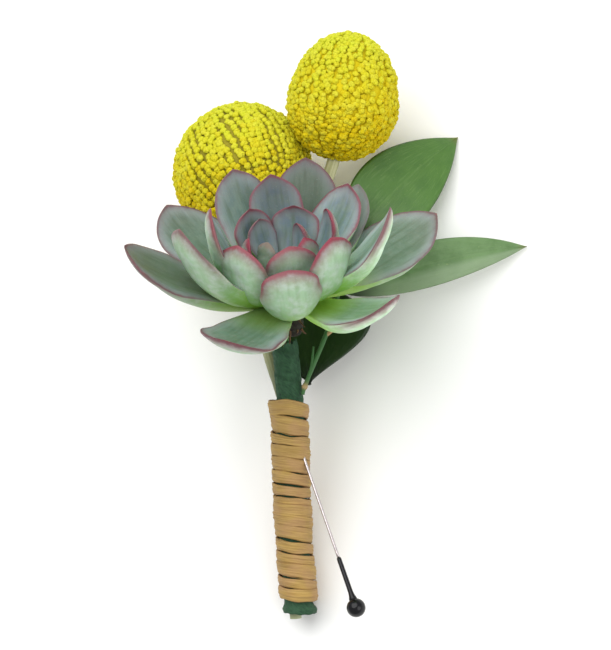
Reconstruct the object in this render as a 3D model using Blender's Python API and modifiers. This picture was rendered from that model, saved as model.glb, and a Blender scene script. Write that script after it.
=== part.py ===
"""A boutonniere lying on its back: a succulent rosette wired to a taped, raffia-bound stem, with two craspedia
heads, three ruscus leaves and a lapel pin. Lengths below are in millimetres and become metres as each object is made."""

import math

import bmesh
import bpy
import numpy as np
from mathutils import Matrix, Vector
from mathutils.bvhtree import BVHTree

MM = 0.001
CLEARANCE = 0.3
SHORTEST_EDGE = 0.003

# The parts are laid out with +Y along the stem towards the heads and +Z out of the rosette's face. The whole then
# turns to lie on the left head, the stem's end and the tips of two ruscus leaves: this is up, in those axes.
UP = Vector((-0.280, 0.220, 0.934)).normalized()

# Succulent rosette. Each row: azimuth, lift, curl, length, width, start height, roll, sweep, bluntness.
# Angles are in degrees. The rows run from the innermost leaf to the outermost.
ROSETTE_CENTRE = Vector((-0.5, 25.3, 17.0))
ROSETTE_TILT = math.radians(-60)
ROSETTE_LEAN = math.radians(8)
LEAVES = (
    (220, 82, 20, 9.5, 5.0, 5.5, 0, 0, 2.3),
    (30, 78, 20, 11.0, 6.0, 5.5, 0, 0, 2.3),
    (125, 68, 35, 13.0, 8.0, 5.0, 0, 0, 2.3),
    (308, 64, 40, 14.0, 8.0, 4.5, 0, 0, 2.3),
    (207, 66, 40, 14.0, 8.0, 4.5, -20, 0, 2.3),
    (352, 62, 40, 19.5, 10.0, 4.0, 20, 0, 2.3),
    (68, 56, 40, 16.0, 12.0, 4.0, 0, 0, 2.8),
    (127, 62, 40, 17.0, 11.0, 4.0, 0, 0, 2.3),
    (278, 56, 55, 18.5, 13.0, 3.5, 0, 0, 3.2),
    (231, 53, 50, 23.0, 14.0, 2.5, 0, 0, 3.0),
    (309, 48, 50, 24.0, 14.0, 2.5, 0, 0, 3.0),
    (52, 28, 35, 28.0, 14.0, 3.0, 0, -8, 2.3),
    (88, 44, 35, 26.0, 13.0, 3.0, 0, 6, 2.3),
    (200, 61, 40, 28.0, 13.0, 3.0, -18, 0, 2.3),
    (272, 39, 75, 22.0, 14.0, 2.5, 0, 0, 3.4),
    (337, 41, 36, 34.0, 13.5, 1.6, 9, 0, 2.3),
    (75, 28, 30, 36.0, 17.0, 1.5, 0, 0, 2.3),
    (110, 41, 35, 31.5, 15.0, 1.5, 0, 0, 2.3),
    (210, 47, 40, 35.0, 16.5, 1.5, 0, 0, 2.3),
    (241, 10, 25, 31.0, 18.0, 0.0, -8, 0, 3.2),
    (314, 13, 35, 32.0, 15.0, 0.0, 0, 0, 2.3),
    (33, 9, 25, 40.0, 19.0, 0.0, 12, -18, 2.3),
    (56, 17, 25, 36.0, 13.0, 0.0, 0, 0, 2.3),
    (136, 16, 20, 40.0, 18.0, 0.5, 0, -14, 2.3),
    (194, 33, 25, 41.0, 15.0, 0.0, -15, 0, 2.3),
)
LEAF_THICKNESS = 3.4
LEAF_START = 2.5
LEAF_CUP = 0.16
LEAF_WIDEST = 0.64
LEAF_BASE_WIDTH = 0.36
LEAF_STATIONS = 10
LEAF_ACROSS = (-1.0, -0.78, -0.4, 0.0, 0.4, 0.78, 1.0)
CORE_PROFILE = ((0.0, -9.0), (1.6, -9.0), (2.2, -8.0), (2.4, -4.5), (4.2, -2.5), (4.2, 1.5), (2.4, 4.6), (0.0, 6.0))

# Stem: a taped bundle with a raffia wrap. It leans sideways by a little towards each end.
TAPE_TOP, TAPE_END = 13.7, -51.0
STEM_LEAN_TOP, STEM_LEAN_END = -1.2, 2.4
TAPE_HEIGHT = 0.5
TAPE_WALL = 0.4
TAPE_OUTSIDE = ((TAPE_END, 3.9), (-49.9, 4.15), (-48.6, 3.4), (-30.0, 3.4), (-8.0, 3.35), (0.5, 3.2), (TAPE_TOP, 3.1))
WRAP_TOP, WRAP_TURNS, WRAP_PITCH = 0.7, 15, 3.25
WRAP_HALF_WIDTH, WRAP_HALF_DEPTH, WRAP_WALL = 4.75, 6.25, 0.4
WRAP_HEIGHT = -0.85
WRAP_GROOVE = 0.2
WRAP_FLARE_START, WRAP_FLARE, WRAP_SHIFT = -7.0, 0.075, -0.35

# Craspedia: each head's middle, radius, how far its crown and its foot are drawn out, and its lean in degrees, then
# the points and radii of its stem.
HEADS = {
    "left": (Vector((-11.6, 56.1, -17.1)), 17.1, 1.0, 1.0, 8),
    "right": (Vector((12.7, 71.4, -6.0)), 13.5, 1.33, 0.98, -8),
}
HEAD_STEMS = {
    "left": (
        ((-9.7, 38.9, -13.8), 1.5), ((-7.9, 26.0, -8.6), 1.5), ((-5.2, 11.5, -4.2), 1.45), ((-2.1, 0.9, -4.0), 1.25),
        ((-1.0, -8.0, -4.4), 1.2), ((-0.4, -26.0, -4.4), 1.2), ((1.2, -48.5, -4.4), 1.2),
    ),
    "right": (
        ((10.4, 57.6, -8.0), 1.55), ((7.9, 50.0, -8.6), 1.5), ((2.4, 29.0, -5.0), 1.45), ((-2.0, 12.5, -0.1), 1.25),
        ((-1.05, 0.0, 0.15), 1.3), ((-0.9, -15.0, 0.1), 1.3), ((0.1, -36.0, 0.1), 1.3), ((1.4, -52.3, 0.1), 1.4),
    ),
}

# Ruscus: each leaf runs base, middle, tip, with its full width, its turn about its own midrib in degrees, how near
# its base it is widest (1 is halfway) and how pointed it is. The broad lower one backs the rosette.
RUSCUS = {
    "upper": (((14.6, 38.0, -8.0), (27.0, 52.5, -12.5), (41.6, 65.0, -21.2)), 19.6, -4, 0.8, 0.8),
    "long": (((12.9, 26.2, -5.8), (36.0, 33.5, -4.5), (57.8, 37.4, -9.8)), 11.0, 6, 0.8, 0.8),
    "lower": (((4.6, 3.6, -3.6), (4.2, 18.0, -10.2), (3.5, 31.5, -15.0)), 31.0, 0, 1.0, 1.3),
}
RUSCUS_THICKNESS = 0.5
TWIG = (((3.0, 1.3, 3.0), 0.45), ((3.9, 4.2, 2.8), 0.5), ((8.2, 14.6, -0.6), 0.6), ((10.4, 20.5, -3.6), 0.6),
        ((12.6, 30.0, -6.6), 0.5), ((14.3, 37.4, -7.8), 0.4))
WIRE = (
    (-1.3, 17.0, 11.8), (-1.5, 16.4, 8.0), (-1.0, 15.2, 3.4), (-0.2, 12.5, 1.6), (0.7, 9.0, 0.1), (0.9, 3.0, -0.9),
    (0.7, -12.0, -1.5), (1.6, -32.0, -1.5),
)
WIRE_RADIUS = 0.5

# Pin: pushed up under the wrap into the tape, its head free.
PIN_HEAD = Vector((15.6, -49.0, 10.4))
PIN_POINT = Vector((0.9, -6.9, 1.9))
PIN_RADIUS = 0.35
PIN_HEAD_RADIUS = 2.25
PIN_NECK = ((0.45, 12.6), (0.55, 12.2), (0.6, 4.0), (0.95, 2.4))
PIN_TAPER = 4.0

MATERIALS = {
    "succulent": ((0.33, 0.44, 0.38), 0.5, 0.0),
    "succulent_core": ((0.42, 0.5, 0.26), 0.6, 0.0),
    "craspedia": ((0.80, 0.62, 0.04), 0.8, 0.0),
    "craspedia_stem": ((0.55, 0.60, 0.38), 0.6, 0.0),
    "ruscus": ((0.07, 0.17, 0.05), 0.4, 0.0),
    "twig": ((0.38, 0.48, 0.20), 0.5, 0.0),
    "floral_tape": ((0.10, 0.20, 0.11), 0.7, 0.0),
    "raffia": ((0.52, 0.36, 0.18), 0.7, 0.0),
    "steel": ((0.66, 0.66, 0.66), 0.25, 1.0),
    "black_plastic": ((0.012, 0.012, 0.014), 0.12, 0.0),
    "wire": ((0.10, 0.22, 0.08), 0.4, 0.0),
}


def clear_scene():
    for thing in list(bpy.data.objects):
        bpy.data.objects.remove(thing, do_unlink=True)


def new_collection(name, shown):
    made = bpy.data.collections.new(name)
    bpy.context.scene.collection.children.link(made)
    made.hide_render = not shown
    return made


def material(name):
    found = bpy.data.materials.get(name)
    if found:
        return found
    colour, roughness, metallic = MATERIALS[name]
    made = bpy.data.materials.new(name)
    made.use_nodes = True
    shader = made.node_tree.nodes["Principled BSDF"]
    shader.inputs["Base Color"].default_value = (*colour, 1.0)
    shader.inputs["Roughness"].default_value = roughness
    shader.inputs["Metallic"].default_value = metallic
    made.diffuse_color = (*colour, 1.0)
    return made


def add_object(name, data, look, collection):
    """An object in the given collection, hung from the frame that lays the whole boutonniere down."""
    made = bpy.data.objects.new(name, data)
    collection.objects.link(made)
    made.parent = FRAME
    if look:
        data.materials.append(material(look))
    else:
        made.hide_render = True
        made.display_type = "WIRE"
    return made


def mesh_object(name, points, faces, look, collection, smooth=True):
    mesh = bpy.data.meshes.new(name)
    mesh.from_pydata([Vector(point) * MM for point in points], [], faces)
    mesh.validate()
    mesh.polygons.foreach_set("use_smooth", [smooth] * len(mesh.polygons))
    return add_object(name, mesh, look, collection)


def loft(rings, end_points=(None, None)):
    """Points and faces of a closed body through rings of equal length, each end a point or a flat cap."""
    size = len(rings[0])
    points = [point for ring in rings for point in ring]
    faces = []
    for start in range(0, (len(rings) - 1) * size, size):
        for i in range(size):
            j = (i + 1) % size
            faces.append((start + i, start + j, start + size + j, start + size + i))
    last = len(points) - size
    ends = ((0, [j for j in reversed(range(size))]), (1, [last + j for j in range(size)]))
    for which, loop in ends:
        if end_points[which] is None:
            faces.append(tuple(loop))
            continue
        points.append(end_points[which])
        for i, start in enumerate(loop):
            faces.append((start, loop[(i + 1) % size], len(points) - 1))
    return points, faces


def smooth_curve(name, points, radii, look, collection, sides=8, steps=4):
    """A round rod of changing radius through the points, with closed ends."""
    curve = bpy.data.curves.new(name, "CURVE")
    curve.dimensions = "3D"
    curve.resolution_u = steps
    curve.bevel_depth = MM
    curve.bevel_resolution = (sides - 4) // 2
    curve.use_fill_caps = True
    spline = curve.splines.new("BEZIER")
    spline.bezier_points.add(len(points) - 1)
    for knot, point, radius in zip(spline.bezier_points, points, radii):
        knot.co = Vector(point) * MM
        knot.radius = radius
        knot.handle_left_type = "AUTO"
        knot.handle_right_type = "AUTO"
    return add_object(name, curve, look, collection)


def lathe(name, profile, look, collection, closed, steps=24, turns=1, drop=0.0, wall=0.0):
    """A profile of (radius, height) pairs swept about Z. With a drop, each turn lies lower than the one before."""
    mesh = bpy.data.meshes.new(name)
    count = len(profile)
    edges = [(i, i + 1) for i in range(count - 1)]
    if closed:
        edges.append((count - 1, 0))
    mesh.from_pydata([(radius * MM, 0.0, height * MM) for radius, height in profile], edges, [])
    made = add_object(name, mesh, look, collection)
    screw = made.modifiers.new("sweep", "SCREW")
    screw.axis = "Z"
    screw.steps = steps
    screw.render_steps = steps
    screw.iterations = turns
    screw.screw_offset = -drop * MM
    screw.use_merge_vertices = drop == 0
    screw.merge_threshold = 1e-6
    screw.use_normal_calculate = True
    if drop:
        weld = made.modifiers.new("join turns", "WELD")
        weld.merge_threshold = 1e-6
    if wall:
        solid = made.modifiers.new("wall", "SOLIDIFY")
        solid.thickness = wall * MM
        solid.offset = -1.0
    return made


def settle_mesh(thing, move=None):
    """Replaces an object's modifiers with their result, faces out, keeping the largest body and moving each point."""
    bpy.context.view_layer.update()
    graph = bpy.context.evaluated_depsgraph_get()
    mesh = bpy.data.meshes.new_from_object(thing.evaluated_get(graph))
    thing.modifiers.clear()
    thing.data = mesh
    body = bmesh.new()
    body.from_mesh(mesh)
    left = set(body.faces)
    shells = []
    while left:
        shell = {left.pop()}
        front = list(shell)
        while front:
            found = {face for edge in front.pop().edges for face in edge.link_faces} - shell
            shell |= found
            front.extend(found)
        left -= shell
        shells.append(shell)
    largest = max(shells, key=lambda shell: sum(face.calc_area() for face in shell))
    bmesh.ops.delete(body, geom=[face for face in body.faces if face not in largest], context="FACES")
    if move:
        for vert in body.verts:
            vert.co = move(vert.co / MM) * MM
    bmesh.ops.dissolve_degenerate(body, edges=body.edges, dist=SHORTEST_EDGE * MM)
    bmesh.ops.remove_doubles(body, verts=body.verts, dist=SHORTEST_EDGE * MM)
    bmesh.ops.recalc_face_normals(body, faces=body.faces)
    if body.calc_volume(signed=True) < 0:
        bmesh.ops.reverse_faces(body, faces=body.faces)
    body.to_mesh(mesh)
    body.free()


def stem_axis(y):
    """How far sideways the stem's middle lies at a place along it."""
    if y > 0:
        return STEM_LEAN_TOP * y / TAPE_TOP
    return STEM_LEAN_END * (y / TAPE_END) ** 2


def along_stem(height, flatten=1.0, flare=False):
    """Turns a body made upright about Z to run along the stem, at the given height, opening out at the top."""

    def move(point):
        open_out = max(0.0, (point.z - WRAP_FLARE_START) / (WRAP_TOP - WRAP_FLARE_START)) if flare else 0.0
        swell = 1 + WRAP_FLARE * open_out
        across = stem_axis(point.z) + WRAP_SHIFT * open_out - point.x * swell
        return Vector((across, point.z, height + point.y * flatten * swell))

    return move


def leaf_half_width(s, blunt):
    if s < LEAF_WIDEST:
        swell = math.sin(math.pi / 2 * s / LEAF_WIDEST) ** 1.5
        return LEAF_BASE_WIDTH + (1 - LEAF_BASE_WIDTH) * swell
    past = (s - LEAF_WIDEST) / (1 - LEAF_WIDEST)
    return max(0.0, 1 - past ** blunt) ** 0.85


def leaf_depth(s):
    swell = 0.62 + 0.38 * math.sin(math.pi * min(s / 0.75, 1))
    return swell * max(0.0, 1 - max(0.0, (s - 0.45) / 0.55) ** 2.2) ** 0.9


def leaf_rings(lift, curl, length, width, start, roll, sweep, blunt):
    """The sections of a fleshy leaf along +X, cupped on its upper side, and its tip."""
    rings = []
    place = Vector((LEAF_START, 0.0, start))
    tip = place
    stations = [1 - (1 - i / LEAF_STATIONS) ** 1.25 for i in range(LEAF_STATIONS + 1)]
    fine = 60
    along = 0.0
    for station in stations:
        while along < station - 1e-9:
            step = min(1 / fine, station - along)
            place = place + leaf_direction(lift, curl, sweep, along + step / 2) * (length * step)
            along += step
        forward = leaf_direction(lift, curl, sweep, station)
        across = math.radians(sweep * station)
        side = Vector((-math.sin(across), math.cos(across), 0.0))
        up = forward.cross(side)
        turn = Matrix.Rotation(math.radians(roll * min(1.0, station * 1.5)), 3, forward)
        side = turn @ side
        up = turn @ up
        half = width / 2 * leaf_half_width(station, blunt)
        deep = LEAF_THICKNESS * leaf_depth(station)
        dip = LEAF_CUP * half
        if station > 0.999:
            tip = place
            break
        top = [place + side * (u * half) - up * (dip * (1 - u * u)) for u in LEAF_ACROSS]
        under = []
        for u in reversed(LEAF_ACROSS[1:-1]):
            below = dip * (1 - u * u) + deep * (1 - abs(u) ** 2.4) ** 0.75
            under.append(place + side * (u * half) - up * below)
        rings.append(top + under)
    return rings, tip


def leaf_direction(lift, curl, sweep, s):
    angle = math.radians(lift - 0.6 * curl + 1.2 * curl * s)
    across = math.radians(sweep * s)
    return Vector((math.cos(angle) * math.cos(across), math.cos(angle) * math.sin(across), math.sin(angle)))


def rosette_place(azimuth):
    turn = Matrix.Rotation(ROSETTE_LEAN, 4, "Z") @ Matrix.Rotation(ROSETTE_TILT, 4, "X")
    return Matrix.Translation(ROSETTE_CENTRE) @ turn @ Matrix.Rotation(math.radians(azimuth), 4, "Z")


def leaf_object(name, row):
    azimuth, lift, curl, length, width, start, roll, sweep, blunt = row
    rings, tip = leaf_rings(lift, curl, length, width, start, roll, sweep, blunt)
    points, faces = loft(rings, (None, tip))
    place = rosette_place(azimuth)
    made = mesh_object(name, [place @ point for point in points], faces, "succulent", SHOWN)
    body = bmesh.new()
    body.from_mesh(made.data)
    bmesh.ops.recalc_face_normals(body, faces=body.faces)
    body.to_mesh(made.data)
    body.free()
    return made


def cut(thing, cutter):
    boolean = thing.modifiers.new("clear of " + cutter.name, "BOOLEAN")
    boolean.operation = "DIFFERENCE"
    boolean.solver = "EXACT"
    boolean.use_self = True
    boolean.object = cutter


def tree_of(thing):
    bpy.context.view_layer.update()
    return BVHTree.FromObject(thing, bpy.context.evaluated_depsgraph_get())


def swollen(thing):
    """A hidden copy of an object with every face moved out by the clearance, to cut its neighbours with."""
    body = bmesh.new()
    body.from_mesh(thing.data)
    body.normal_update()
    moves = [vert.normal * (CLEARANCE * MM * min(2.5, vert.calc_shell_factor())) for vert in body.verts]
    for vert, step in zip(body.verts, moves):
        vert.co += step
    mesh = bpy.data.meshes.new(thing.name + "_cutter")
    body.to_mesh(mesh)
    body.free()
    cutter = bpy.data.objects.new(mesh.name, mesh)
    CUTTERS.objects.link(cutter)
    cutter.parent = FRAME
    cutter.hide_render = True
    cutter.display_type = "WIRE"
    return cutter, tree_of(cutter)


def build_rosette():
    """Each leaf is trimmed clear of the core, of the heads behind and of every leaf inside it."""
    core = lathe("succulent_core", CORE_PROFILE, "succulent_core", SHOWN, closed=False, steps=16)
    settle_mesh(core, lambda point: rosette_place(0) @ point)
    inner = [swollen(core)] + [swollen(bpy.data.objects["craspedia_head_" + side]) for side in HEADS]
    for number, row in enumerate(LEAVES, 1):
        leaf = leaf_object(f"succulent_leaf_{number:02d}", row)
        grown = swollen(leaf)
        own = tree_of(leaf)
        for cutter, tree in inner:
            if own.overlap(tree):
                cut(leaf, cutter)
        inner.append(grown)
        settle_mesh(leaf)


def head_object(side):
    """A craspedia head: a ball drawn out towards its crown, leaning over in line with its stem."""
    centre, radius, crown, foot, lean = HEADS[side]
    turn = Matrix.Rotation(math.radians(lean), 3, "Z")
    body = bmesh.new()
    bmesh.ops.create_icosphere(body, subdivisions=4, radius=1.0)
    for vert in body.verts:
        point = vert.co * radius
        point.y *= crown if point.y > 0 else foot
        vert.co = (centre + turn @ point) * MM
    mesh = bpy.data.meshes.new("craspedia_head_" + side)
    body.to_mesh(mesh)
    body.free()
    mesh.polygons.foreach_set("use_smooth", [True] * len(mesh.polygons))
    add_object(mesh.name, mesh, "craspedia", SHOWN)


def build_craspedia():
    for side, knots in HEAD_STEMS.items():
        head_object(side)
        smooth_curve("craspedia_stem_" + side, [p for p, _ in knots], [r for _, r in knots], "craspedia_stem", SHOWN)


def ruscus_leaf(name, spine, width, turn, broad, pointed):
    """A thin pointed blade on a curved midrib, made as a sheet and then given thickness."""
    base, middle, tip = (Vector(point) for point in spine)
    stations, across = 12, 4
    points, faces = [], []
    for i in range(stations + 1):
        s = i / stations
        place = base * (1 - s) ** 2 + (middle * 2 - (base + tip) / 2) * (2 * s * (1 - s)) + tip * s * s
        forward = (tip - base).normalized()
        side = Matrix.Rotation(math.radians(turn), 3, forward) @ Vector((0, 0, 1)).cross(forward).normalized()
        up = forward.cross(side)
        half = width / 2 * max(0.04, math.sin(math.pi * s ** broad) ** pointed)
        for j in range(across + 1):
            u = 2 * j / across - 1
            points.append(place + side * (u * half) + up * (0.10 * half * abs(u)))
    for i in range(stations):
        for j in range(across):
            corner = i * (across + 1) + j
            faces.append((corner, corner + across + 1, corner + across + 2, corner + 1))
    made = mesh_object(name, points, faces, "ruscus", SHOWN)
    solid = made.modifiers.new("thickness", "SOLIDIFY")
    solid.thickness = RUSCUS_THICKNESS * MM
    solid.offset = 0.0


def build_ruscus():
    for name, leaf in RUSCUS.items():
        ruscus_leaf("ruscus_leaf_" + name, *leaf)
    smooth_curve("ruscus_twig", [p for p, _ in TWIG], [r for _, r in TWIG], "twig", SHOWN, sides=8)


def build_stem(pin_cutter):
    outside = list(TAPE_OUTSIDE)
    inside = [(height, radius - TAPE_WALL) for height, radius in reversed(outside)]
    profile = [(radius, height) for height, radius in outside + inside]
    tape = lathe("floral_tape", profile, "floral_tape", SHOWN, closed=True)
    settle_mesh(tape, along_stem(TAPE_HEIGHT))
    cut(tape, pin_cutter)
    settle_mesh(tape)
    low = WRAP_PITCH * 0.16
    turn = (
        (WRAP_HALF_WIDTH - WRAP_GROOVE, 0.0),
        (WRAP_HALF_WIDTH, -low),
        (WRAP_HALF_WIDTH, low - WRAP_PITCH),
        (WRAP_HALF_WIDTH - WRAP_GROOVE, -WRAP_PITCH),
    )
    profile = [(radius, WRAP_TOP + height) for radius, height in turn]
    wrap = lathe(
        "raffia_wrap", profile, "raffia", SHOWN, closed=False, steps=16, turns=WRAP_TURNS - 1, drop=WRAP_PITCH,
        wall=WRAP_WALL,
    )
    settle_mesh(wrap, along_stem(WRAP_HEIGHT, WRAP_HALF_DEPTH / WRAP_HALF_WIDTH, flare=True))
    cut(wrap, pin_cutter)
    settle_mesh(wrap)
    smooth_curve("succulent_wire", WIRE, [WIRE_RADIUS] * len(WIRE), "wire", SHOWN, sides=8)


def along_pin():
    """Sends a body made upright about Z to the pin's line, its origin at the head's middle and +Z to the point."""
    line = (PIN_POINT - PIN_HEAD).normalized()
    turn = line.to_track_quat("Z", "Y").to_matrix()

    def move(point):
        return PIN_HEAD + turn @ point

    return move


def build_pin():
    length = (PIN_POINT - PIN_HEAD).length
    neck_end = max(height for _, height in PIN_NECK)
    start = neck_end + CLEARANCE
    needle = ((0.0, start), (PIN_RADIUS, start), (PIN_RADIUS, length - PIN_TAPER), (0.0, length))
    shank = lathe("pin_shank", needle, "steel", SHOWN, closed=False, steps=12)
    settle_mesh(shank, along_pin())
    ball = []
    for i in range(11):
        angle = math.radians(-90 + 160 * i / 10)
        ball.append((PIN_HEAD_RADIUS * math.cos(angle), PIN_HEAD_RADIUS * math.sin(angle)))
    ball[0] = (0.0, -PIN_HEAD_RADIUS)
    profile = ball + [(radius, height) for radius, height in reversed(PIN_NECK)] + [(0.0, neck_end)]
    head = lathe("pin_head", profile, "black_plastic", SHOWN, closed=False, steps=20)
    settle_mesh(head, along_pin())


def pin_clearance():
    room = PIN_RADIUS + CLEARANCE
    length = (PIN_POINT - PIN_HEAD).length
    bore = ((0.0, neck_length()), (room, neck_length()), (room, length + 0.4), (0.0, length + 0.4))
    cutter = lathe("pin_cutter", bore, None, CUTTERS, closed=False, steps=12)
    settle_mesh(cutter, along_pin())
    return cutter


def neck_length():
    return max(height for _, height in PIN_NECK)


def lay_down():
    """Turns the frame to the resting pose, its origin under the middle of the bounding box."""
    across = Vector((0.0, 1.0, 0.0)).cross(UP).normalized()
    FRAME.rotation_euler = Matrix((across, UP.cross(across), UP)).to_euler()
    bpy.context.view_layer.update()
    graph = bpy.context.evaluated_depsgraph_get()
    points = []
    for thing in SHOWN.objects:
        done = thing.evaluated_get(graph)
        mesh = done.to_mesh()
        points += [done.matrix_world @ vert.co for vert in mesh.vertices]
        done.to_mesh_clear()
    points = np.array(points)
    low, high = points.min(axis=0), points.max(axis=0)
    FRAME.location = (-(low[0] + high[0]) / 2, -(low[1] + high[1]) / 2, -low[2])


clear_scene()
SHOWN = new_collection("boutonniere", True)
CUTTERS = new_collection("cutters", False)
FRAME = bpy.data.objects.new("frame", None)
bpy.context.scene.collection.objects.link(FRAME)

build_craspedia()
build_rosette()
build_ruscus()
build_stem(pin_clearance())
build_pin()
lay_down()
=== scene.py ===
import math
import random

import bmesh
import bpy
import numpy as np
from mathutils import Matrix, Vector, noise


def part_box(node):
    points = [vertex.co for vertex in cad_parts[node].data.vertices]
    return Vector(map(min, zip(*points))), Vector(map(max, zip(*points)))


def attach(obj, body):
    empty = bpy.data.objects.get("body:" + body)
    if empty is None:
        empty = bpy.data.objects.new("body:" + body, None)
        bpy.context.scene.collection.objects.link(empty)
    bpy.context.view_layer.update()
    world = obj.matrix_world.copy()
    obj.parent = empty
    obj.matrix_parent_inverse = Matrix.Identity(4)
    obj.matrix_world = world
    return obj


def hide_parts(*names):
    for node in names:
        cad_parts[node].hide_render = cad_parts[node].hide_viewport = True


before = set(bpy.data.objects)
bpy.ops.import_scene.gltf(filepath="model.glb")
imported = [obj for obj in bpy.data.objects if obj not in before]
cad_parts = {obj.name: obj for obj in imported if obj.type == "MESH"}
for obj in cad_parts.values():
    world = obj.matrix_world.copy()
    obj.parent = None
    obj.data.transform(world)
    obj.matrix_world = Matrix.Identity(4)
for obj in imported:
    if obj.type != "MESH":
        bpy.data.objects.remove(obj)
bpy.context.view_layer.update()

# Everything below is laid out in millimetres, with +Y along the stem towards the heads and +Z out of the
# rosette's face. The whole then turns to lie on a table, and UP is the table's up in those axes.
MM = 0.001
UP = Vector((-0.280, 0.220, 0.934)).normalized()
ACROSS = Vector((0.0, 1.0, 0.0)).cross(UP).normalized()
TURN = np.array([ACROSS, UP.cross(ACROSS), UP])
CHANCE = random.Random(7)
FINE = np.random.default_rng(7)

# Craspedia heads: middle, radius, how far the crown and the foot are drawn out, lean in degrees, the pole
# that the rows of florets fan out from, the number of rows, how far the clusters stray from them, and how
# yellow the gaps between them are, from 0 to 1: below 1 they hold painted shade, dark olive at 0.
HEADS = {
    "left": ((-11.6, 56.1, -17.1), 17.1, 1.0, 1.0, 8, (0.45, -0.78, 0.44), 56, 0.014, 0.15),
    "right": ((12.7, 71.4, -6.0), 13.5, 1.33, 0.98, -8, (-0.10, -0.97, 0.22), 54, 0.03, 1.0),
}
# Each head's stem, from inside the head to the cut end, as (place, radius).
HEAD_STEMS = {
    "left": (
        ((-9.9, 42.0, -14.4), 1.5), ((-9.7, 38.9, -13.8), 1.5), ((-7.9, 26.0, -8.6), 1.5),
        ((-5.2, 11.5, -4.2), 1.45), ((-2.1, 0.9, -4.0), 1.25), ((-1.0, -8.0, -4.4), 1.2),
        ((-0.4, -26.0, -4.4), 1.2), ((1.2, -48.5, -4.4), 1.2),
    ),
    "right": (
        ((10.9, 60.6, -7.6), 1.55), ((10.4, 57.6, -8.0), 1.55), ((7.9, 50.0, -8.6), 1.5),
        ((2.4, 29.0, -5.0), 1.45), ((-2.0, 12.5, -0.1), 1.25), ((-1.05, 0.0, 0.15), 1.3),
        ((-0.9, -15.0, 0.1), 1.3), ((0.1, -36.0, 0.1), 1.3), ((1.4, -52.3, 0.1), 1.4),
    ),
}
# Florets: spacing of the clusters along a row, lobes of a floret and florets of a cluster. Rows take turns to
# start at these angles from the pole, so that they thin out where they would crowd. None stand on the stem.
CLUSTER_STEP = 1.45
FLORET_SIDES = 5
FLORETS_TO_A_CLUSTER = 4
ROW_STARTS = (8, 43, 21, 43)
FLORET_ROOT = 1.5
BARE_ROUND_STEM = 2.6
RECEPTACLE_DEPTH = 0.8

# Rosette leaves, innermost first: azimuth, lift, curl, length, width, start height, roll, sweep, bluntness,
# then how old the leaf looks and how red its edges are, both from 0 to 1, and how bright its skin is.
ROSETTE_CENTRE = Vector((-0.5, 25.3, 17.0))
ROSETTE_TILT = math.radians(-60)
ROSETTE_LEAN = math.radians(8)
LEAVES = (
    (220, 82, 20, 9.5, 6.2, 5.5, 0, 0, 3.6, 0.0, 0.3, 0.46),
    (30, 78, 20, 11.0, 6.0, 5.5, 0, 0, 2.6, 0.0, 0.8, 0.8),
    (125, 68, 35, 13.0, 8.0, 5.0, 0, 0, 2.6, 0.0, 0.6, 0.8),
    (308, 64, 40, 14.0, 8.0, 4.5, 0, 0, 2.6, 0.0, 1.0, 0.8),
    (207, 66, 40, 14.0, 8.0, 4.5, -20, 0, 2.6, 0.0, 1.0, 0.85),
    (352, 62, 40, 19.5, 10.0, 4.0, 20, 0, 2.6, 0.1, 1.0, 0.95),
    (68, 56, 40, 16.0, 12.0, 4.0, 0, 0, 2.8, 0.05, 0.8, 0.75),
    (127, 62, 40, 17.0, 11.0, 4.0, 0, 0, 2.6, 0.1, 0.8, 0.75),
    (278, 56, 55, 18.5, 13.0, 3.5, 0, 0, 3.2, 0.1, 0.8, 0.58),
    (231, 53, 50, 23.0, 14.0, 2.5, 0, 0, 3.0, 0.2, 0.9, 0.95),
    (309, 48, 50, 24.0, 14.0, 2.5, 0, 0, 3.0, 0.2, 1.0, 1.0),
    (52, 28, 35, 28.0, 14.0, 3.0, 0, -8, 2.6, 0.15, 0.9, 0.95),
    (88, 44, 35, 26.0, 13.0, 3.0, 0, 6, 2.6, 0.1, 0.7, 0.48),
    (200, 61, 40, 28.0, 13.0, 3.0, -18, 0, 2.6, 0.3, 0.9, 1.1),
    (272, 39, 75, 22.0, 14.0, 2.5, 0, 0, 7.0, 0.3, 0.9, 0.92),
    (337, 41, 36, 34.0, 13.5, 1.6, 9, 0, 2.6, 0.5, 0.9, 1.4),
    (75, 28, 30, 36.0, 17.0, 1.5, 0, 0, 2.6, 0.8, 0.7, 0.46),
    (110, 41, 35, 31.5, 15.0, 1.5, 0, 0, 2.6, 0.4, 0.7, 0.82),
    (210, 47, 40, 35.0, 16.5, 1.5, 0, 0, 2.6, 0.6, 0.8, 1.0),
    (241, 10, 25, 31.0, 18.0, 0.0, -8, 0, 4.2, 0.65, 1.0, 0.98),
    (314, 13, 35, 32.0, 15.0, 0.0, 0, 0, 3.2, 0.85, 1.0, 1.4),
    (33, 9, 25, 40.0, 19.0, 0.0, 12, -18, 2.6, 0.7, 0.7, 0.92),
    (56, 17, 25, 36.0, 13.0, 0.0, 0, 0, 2.6, 0.8, 0.3, 0.7),
    (136, 16, 20, 40.0, 18.0, 0.5, 0, -14, 2.6, 0.6, 0.7, 0.85),
    (194, 33, 25, 41.0, 15.0, 0.0, -15, 0, 2.6, 0.9, 0.8, 0.64),
)
LEAF_THICKNESS = 4.5
LEAF_START = 2.5
LEAF_CUP = 0.16
LEAF_WIDEST = 0.64
LEAF_BASE_WIDTH = 0.36
LEAF_STATIONS = 46
LEAF_ACROSS = 27
LEAF_POINT = 0.4
LEAF_LIP = 0.75
LEAF_PATH_STEPS = 240
# The stub under the leaves, as (height, radius), and the dried leaf remnants on it. The stub's lower end
# fills the dark hollow above the tape, and its near-black colour is painted shade.
CORE_PROFILE = (
    (-11.6, 0.8), (-11.0, 1.8), (-9.0, 2.6), (-4.5, 2.9), (-2.5, 4.0), (1.5, 4.2), (4.6, 2.4), (6.0, 0.6),
)
HUSKS = 14
HUSK_RADIUS = 0.34

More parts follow.
